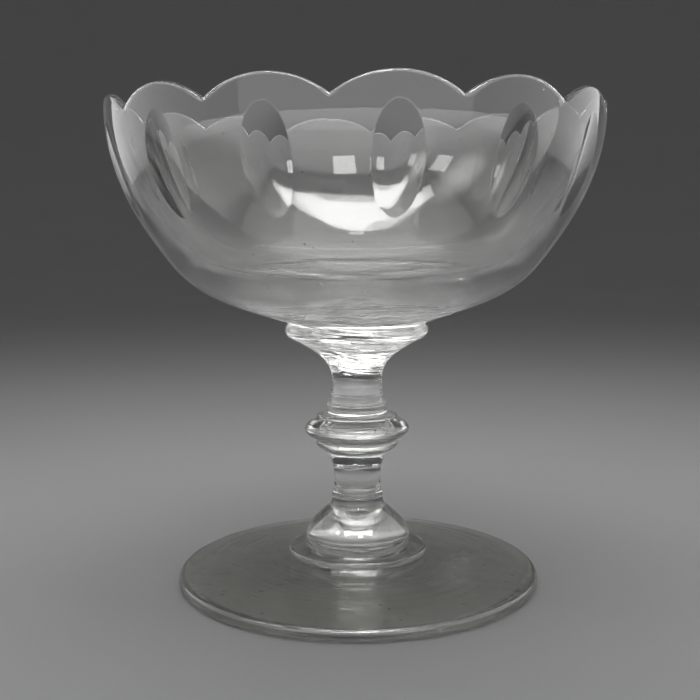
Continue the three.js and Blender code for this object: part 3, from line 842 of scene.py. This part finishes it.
paper_sheet = swept_paper()
paper = bpy.data.materials.new("pale_paper")
paper.use_nodes = True
paper_place = fresh(paper.node_tree, "TexCoord", {}).outputs["Object"]
paper_noise = fresh(paper.node_tree, "TexNoise", {"Scale": PAPER_NOISE_SCALE,
                                                  "Vector": paper_place})
paper_tone = fresh(paper.node_tree, "Mix", {})
paper_tone.data_type = "RGBA"
feed(paper.node_tree, paper_tone, {"Factor": paper_noise.outputs["Fac"], "A": PAPER_DARK,
                                   "B": PAPER_LIGHT})
feed(paper.node_tree, paper.node_tree.nodes["Principled BSDF"], {
    "Roughness": PAPER_ROUGHNESS, "Specular IOR Level": PAPER_SHEEN,
    "Base Color": paper_tone.outputs["Result"]})
paper_sheet.data.materials.append(paper)

top_softbox = soft_lamp("top_softbox", (0, 0, 0.5), (0, 0, 0.1), (0.4, 0.4), 1.9)
top_softbox.visible_glossy = False
surround = bpy.data.worlds.new("grey_surround")
surround.use_nodes = True
feed(surround.node_tree, surround.node_tree.nodes["Background"], {"Color": SURROUND,
                                                                  "Strength": 1.0})
bpy.context.scene.world = surround


# The lamps for the glass: broad fills all round and above, strips and windows that leave the
# crescent and the glints, and cards that brighten the edges. None of them lights the paper, and
# the camera sees none of them.
def glass_lamp(name, place, target, size, glow, through=False, fading=0.0, along=(1, 1), only=()):
    """A lamp for the glass alone: flagged off from every matte thing, so that its spill misses
    the paper, also through the glass. The glass mirrors it, or shows it through. It fades out
    smoothly from its middle to its edges, across, up or both. Where pieces are given, it
    lights only these."""
    lamp = soft_lamp(name, place, target, size, glow)
    lamp.visible_diffuse = False
    lamp.visible_glossy = not through
    lamp.visible_transmission = through
    lamp.data.use_nodes = True
    tree = lamp.data.node_tree
    spill = fresh(tree, "LightPath", {}).outputs["Diffuse Depth"]
    strength = fresh(tree, "Math", {0: spill, 1: 0.5}, "LESS_THAN").outputs["Value"]
    if fading:
        across = fresh(tree, "NewGeometry", {}).outputs["Parametric"]
        to_middle = (*[-0.5 * part for part in along], 0)
        centred = fresh(tree, "VectorMath", {0: across, 1: (*along, 0), 2: to_middle},
                        "MULTIPLY_ADD")
        off_middle = fresh(tree, "VectorMath", {0: centred.outputs["Vector"]}, "LENGTH")
        soft_edge = fresh(tree, "MapRange", {"Value": off_middle.outputs["Value"],
                                             "From Min": 0.5, "From Max": 0.5 - fading})
        soft_edge.interpolation_type = "SMOOTHSTEP"
        strength = fresh(tree, "Math", {0: soft_edge.outputs["Result"], 1: strength},
                         "MULTIPLY").outputs["Value"]
    feed(tree, tree.nodes["Emission"], {"Strength": strength})
    if only:
        group = bpy.data.collections.new(name + "_pieces")
        for piece in only:
            group.objects.link(piece)
        lamp.light_linking.receiver_collection = group
    return lamp


glass_lamp("front_fill", (0, -0.5, 0.42), (0, 0, 0.42), (1.1, 1.0), 2.8, fading=0.2, along=(0, 1))
glass_lamp("left_fill", (-0.55, 0, 0.42), (0, 0, 0.42), (1.0, 1.0), 1.9, fading=0.2, along=(0, 1))
glass_lamp("right_fill", (0.55, 0, 0.42), (0, 0, 0.42), (1.0, 1.0), 1.9, fading=0.2, along=(0, 1))
glass_lamp("ceiling_fill", (0, 0, 0.9), (0, 0.0001, 0), (1.1, 1.0), 0.8)
glass_lamp("back_fill", (0, 0.5, 0.45), (0, 0, 0.45), (1.1, 0.9), 0.12)
glass_lamp("overhead_strip", (-0.02, -0.145, 0.87), (0, 0.06, 0.12), (0.85, 0.26), 30.0, fading=0.3)
glass_lamp("glint_strip", (0, -0.38, 0.87), (0, 0, 0.12), (1.2, 0.12), 60.0, through=True)
sky_panel = glass_lamp("sky_panel", (0, -0.05, 0.9), (0, -0.0499, 0), (1.9, 1.5), 2.2,
                       through=True, fading=0.3)
sky_panel.data.shape = "ELLIPSE"
glass_lamp("window_lamp", (0.065, -0.525, 0.66), (0, 0.07, 0.14), (0.14, 0.22), 18.0)
glass_lamp("side_window", (-0.467, -0.267, 0.6), (0.03, 0.07, 0.14), (0.115, 0.145), 8.0)
glass_lamp("side_haze", (-0.57, -0.1, 0.72), (0.03, 0.07, 0.12), (0.42, 0.6), 5.5, fading=0.45)
glass_lamp("floor_card", (0, -0.95, 0.012), (0, -0.9499, 1), (2.0, 1.6), 2.4, fading=0.15,
           along=(0, 1))
glass_lamp("low_window", (0.01, -0.26, 0.45), (0, 0, 0.02), (0.5, 0.13), 12.0,
           only=(foot_boss, boss_ring))
glass_lamp("edge_window", (0, -0.37, 0.42), (0, 0, 0.02), (0.7, 0.24), 22.0, fading=0.45,
           only=(foot_disc,))
stem_pieces = (boss_ring, foot_boss, stem_ring, lower_stem, knop_base, knop_flange, knop_shoulder,
               knop_bead, upper_stem, bowl_collar)
for name, place, size, glow in (("left_card", (-0.6, 0, 0.16), (0.3, 0.25), 2.0),
                                ("right_card", (0.6, 0, 0.16), (0.3, 0.25), 2.0),
                                ("front_card", (0, -0.7, 0.3), (0.5, 0.25), 0.45)):
    glass_lamp(name, place, (0, 0, 0.07), size, glow, through=True, only=stem_pieces)


# The camera stands in front, level with the middle of the bowl, and looks slightly down, as in
# the photograph. Light may pass through many walls of glass before it is lost.
LENS = 54.0
CAMERA_PLACE = (-0.0022, -0.349, 0.1189)
CAMERA_PITCH = 6.75
CAMERA_ROLL = 0.4
NEAREST = 0.01
WALLS_PASSED = 32
WELDS_PASSED = 64
MIRRORINGS = 16

camera_data = bpy.data.cameras.new("studio_camera")
camera_data.lens = LENS
camera_data.clip_start = NEAREST
camera = bpy.data.objects.new("studio_camera", camera_data)
bpy.context.scene.collection.objects.link(camera)
camera.location = CAMERA_PLACE
level_view = Euler((radians(90 - CAMERA_PITCH), 0, 0)).to_quaternion()
camera.rotation_mode = "QUATERNION"
camera.rotation_quaternion = level_view @ Quaternion((0, 0, 1), radians(-CAMERA_ROLL))
bpy.context.scene.camera = camera
bpy.context.scene.view_settings.view_transform = "Standard"
bpy.context.scene.cycles.transparent_max_bounces = WELDS_PASSED
bpy.context.scene.cycles.max_bounces = WALLS_PASSED
bpy.context.scene.cycles.transmission_bounces = WALLS_PASSED
bpy.context.scene.cycles.glossy_bounces = MIRRORINGS
